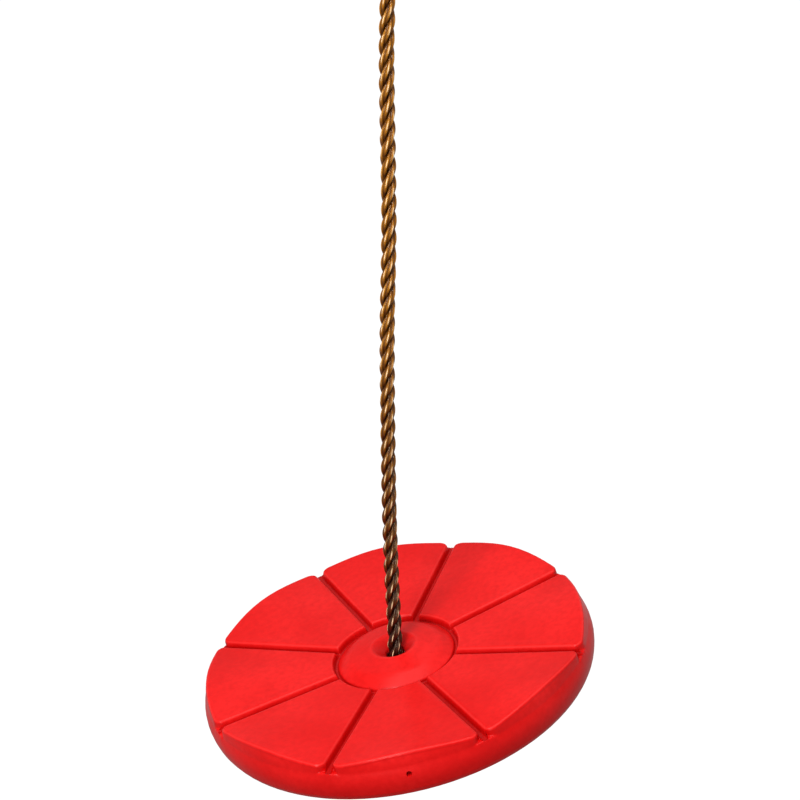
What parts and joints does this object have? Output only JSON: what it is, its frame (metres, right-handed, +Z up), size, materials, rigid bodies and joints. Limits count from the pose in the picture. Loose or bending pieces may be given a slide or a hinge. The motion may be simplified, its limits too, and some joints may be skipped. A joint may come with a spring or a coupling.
{
  "type": "disc rope swing",
  "caption": "Round petal-topped plastic swing seat hung level or tilted on one laid rope, with a stopper knot below and a thimble eye, ring and snap hook above.",
  "frame": {"origin": "inside of the snap hook's top bow, where the hanger bears", "axes": "+Z up along the rope; the seat hangs tilted about Y, its top leaning towards -X; the gate is on the +X side"},
  "size_m": [0.2751, 0.2798, 0.788],
  "materials": {
    "red_plastic": "satin moulded polyethylene",
    "rope": "golden-brown laid polypropylene, slightly glossy",
    "sleeve": "shrunk black sleeve",
    "galvanised": "bright galvanised steel",
    "ferrule": "pressed aluminium"
  },
  "bodies": {
    "snap_hook": {"snap_hook_body": "galvanised", "gate_rivet": "galvanised"},
    "gate": {"hook_gate": "galvanised", "gate_push_pin": "galvanised", "gate_spring": "galvanised"},
    "ring": {"hanging_ring": "galvanised"},
    "rope": {"hanging_rope": "rope", "eye_thimble": "galvanised", "rope_ferrules": "ferrule", "rope_end_sleeves": "sleeve", "stopper_knot": "rope"},
    "washer": {"knot_washer": "galvanised"},
    "seat": {"seat_disc": "red_plastic"}
  },
  "joints": [
    {"name": "gate_pivot", "type": "hinge", "parent": "snap_hook", "child": "gate", "pos_m": [0.014, 0, -0.049], "axis": [0, -1, 0], "range_deg": [0, 28], "stiffness_Nm_per_rad": 0.05, "springref_deg": -17.19},
    {"name": "ring_swing", "type": "hinge", "parent": "snap_hook", "child": "ring", "pos_m": [0, 0, -0.068], "axis": [1, 0, 0], "range_deg": [-50, 50]},
    {"name": "rope_swing", "type": "hinge", "parent": "ring", "child": "rope", "pos_m": [0, 0, -0.0967], "axis": [0, 1, 0], "range_deg": [-45, 45]},
    {"name": "seat_spin", "type": "hinge", "parent": "rope", "child": "washer", "pos_m": [0, 0, -0.7], "axis": [0, 0, 1], "continuous": true},
    {"name": "seat_tilt", "type": "hinge", "parent": "washer", "child": "seat", "pos_m": [0, 0, -0.7], "axis": [0, 1, 0], "range_deg": [-10, 40]}
  ]
}
